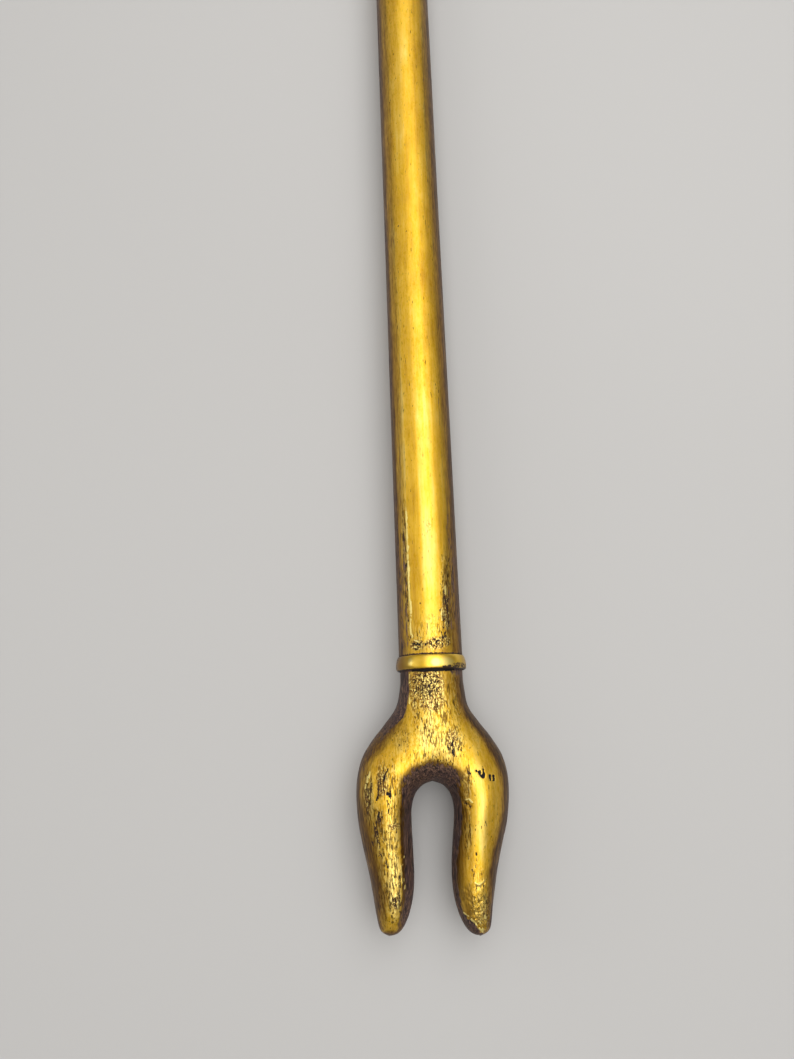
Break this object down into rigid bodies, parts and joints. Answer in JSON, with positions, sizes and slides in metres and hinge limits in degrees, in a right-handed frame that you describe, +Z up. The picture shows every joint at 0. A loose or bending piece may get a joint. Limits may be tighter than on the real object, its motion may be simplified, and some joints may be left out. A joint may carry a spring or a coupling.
{
  "type": "bishop crosier",
  "caption": "Long round ceremonial staff in worn gilt wood, lying down, with a two-pronged forked foot, moulded collars and a plain coiled crook head.",
  "frame": {"origin": "on the surface that the staff lies on, below the middle of its length and of its width, which is below the shaft's axis", "axes": "+Z up; +Y along the shaft from the forked foot to the crook; +X across, to the right when looking down on the staff with its foot towards the viewer, and in the plane of the fork and of the crook's coil"},
  "size_m": [0.1304, 1.8, 0.032],
  "materials": {
    "worn_gilding": "worn gold leaf over a dark ground on carved and turned wood",
    "burnished_band": "burnished gilt metal"
  },
  "bodies": {
    "root": {"shaft": "worn_gilding", "foot_band": "burnished_band", "forked_foot": "worn_gilding", "head_band": "burnished_band", "crook": "worn_gilding"}
  },
  "joints": []
}
